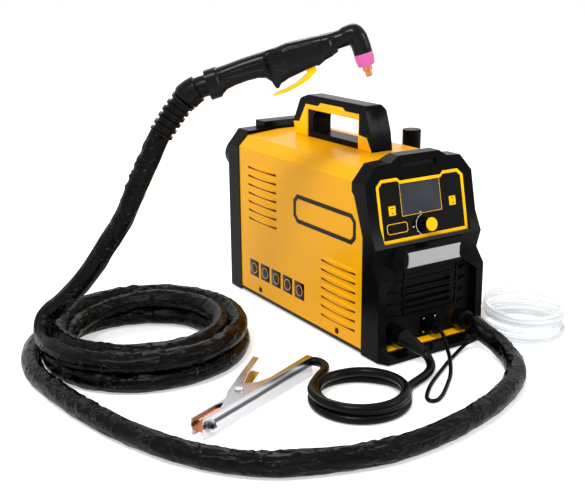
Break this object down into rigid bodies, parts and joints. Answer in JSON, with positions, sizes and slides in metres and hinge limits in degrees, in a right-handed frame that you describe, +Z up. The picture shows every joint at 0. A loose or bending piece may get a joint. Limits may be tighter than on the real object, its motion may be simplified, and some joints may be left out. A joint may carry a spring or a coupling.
{
  "type": "plasma cutter",
  "caption": "Yellow and black portable inverter plasma cutter with carrying handle, sleeved hand torch on its lead, earth clamp, control lead and clear air hose.",
  "frame": {"origin": "on the floor, at the centre of the four bolt holes through the rubber feet", "axes": "+X right seen from the front, +Y to the back, +Z up; the control panel faces -Y"},
  "size_m": [0.7358, 0.593, 0.4066],
  "materials": {
    "yellow_paint": "gloss yellow powder coat",
    "black_steel": "black paint",
    "rubber": "black rubber",
    "black_plastic": "fine-grained black plastic",
    "dark_plate": "dark insulating board",
    "yellow_plastic": "gloss yellow plastic",
    "gloss_black": "gloss black",
    "screen": "smoked window",
    "board_green": "green circuit board",
    "plate": "brushed plate",
    "brass": "turned brass",
    "steel": "plated steel",
    "red_plastic": "red rocker",
    "cast_metal": "die-cast body",
    "clear": "clear soft plastic",
    "heat_sink": "extruded heat sink",
    "copper": "copper",
    "torch_black": "satin black plastic",
    "ceramic_pink": "glazed pink ceramic",
    "chrome": "plated steel sheet",
    "sleeve": "shiny black woven sleeve"
  },
  "bodies": {
    "case": {"cover": "yellow_paint", "base_pan": "black_steel", "rubber_feet": "rubber", "front_bezel": "black_plastic", "rear_bezel": "black_plastic", "rear_panel": "black_steel", "socket_panel": "dark_plate", "display_trim": "yellow_plastic", "display_panel": "gloss_black", "display_screen": "screen", "control_board": "board_green", "name_plate": "plate", "front_grille": "black_plastic", "earth_socket": "black_plastic", "earth_plug": "rubber", "torch_socket": "brass", "torch_nut": "brass", "control_socket": "black_plastic", "handle_liner": "yellow_plastic", "handle_shell_left": "black_plastic", "handle_shell_right": "black_plastic", "case_screws": "black_steel", "fan_frame": "black_plastic", "power_switch": "black_plastic", "mains_gland": "black_plastic", "gauge": "gloss_black", "regulator_body": "cast_metal", "filter_bowl": "clear", "main_board": "board_green", "heat_sinks": "heat_sink", "transformer": "copper", "torch_handle_left": "torch_black", "torch_handle_right": "torch_black", "torch_head": "torch_black", "torch_cup": "ceramic_pink", "torch_tip": "copper", "torch_relief": "rubber", "clamp_lever_front": "chrome", "clamp_pin": "steel", "clamp_jaw_front": "copper", "sleeve_run": "sleeve", "sleeve_coil": "sleeve", "sleeve_rise": "sleeve", "earth_run": "rubber", "earth_coil": "rubber", "earth_tail": "rubber", "control_lead": "rubber", "hose_run": "clear", "hose_coil": "clear", "hose_tail": "clear"},
    "knob": {"current_knob": "black_plastic", "knob_cap": "yellow_plastic"},
    "left_button": {"button_left": "yellow_plastic"},
    "right_button": {"button_right": "yellow_plastic"},
    "rocker": {"power_rocker": "red_plastic"},
    "pressure_knob": {"regulator_knob": "black_plastic"},
    "rotor": {"fan_rotor": "black_plastic"},
    "trigger": {"torch_trigger": "yellow_plastic"},
    "clamp_arm": {"clamp_lever_rear": "chrome", "clamp_jaw_rear": "copper"}
  },
  "joints": [
    {"name": "current_knob_turn", "type": "hinge", "parent": "case", "child": "knob", "pos_m": [0, -0.16579, 0.16223], "axis": [0, -0.977, 0.213], "range_deg": [-135, 135]},
    {"name": "left_button_press", "type": "slide", "parent": "case", "child": "left_button", "axis": [0, 0.977, -0.213], "range_m": [0, 0.0012], "stiffness_N_per_m": 600},
    {"name": "right_button_press", "type": "slide", "parent": "case", "child": "right_button", "axis": [0, 0.977, -0.213], "range_m": [0, 0.0012], "stiffness_N_per_m": 600},
    {"name": "power_rocker_tilt", "type": "hinge", "parent": "case", "child": "rocker", "pos_m": [0.044, 0.171, 0.196], "axis": [1, 0, 0], "range_deg": [-8, 8]},
    {"name": "regulator_knob_turn", "type": "hinge", "parent": "case", "child": "pressure_knob", "pos_m": [0.1025, -0.012, 0.23], "axis": [0, 0, 1], "range_deg": [-720, 720]},
    {"name": "fan_spin", "type": "hinge", "parent": "case", "child": "rotor", "pos_m": [0, 0.16, 0.084], "axis": [0, 1, 0], "continuous": true},
    {"name": "torch_trigger_press", "type": "hinge", "parent": "case", "child": "trigger", "pos_m": [-0.13922, -0.11837, 0.36141], "axis": [0.538, 0.8429, 0], "range_deg": [0, 5], "stiffness_Nm_per_rad": 0.6, "springref_deg": -6.88},
    {"name": "clamp_arm_open", "type": "hinge", "parent": "case", "child": "clamp_arm", "pos_m": [-0.286, -0.198, 0.0136], "axis": [0, 0, -1], "range_deg": [0, 14], "stiffness_Nm_per_rad": 2, "springref_deg": -28.65}
  ]
}
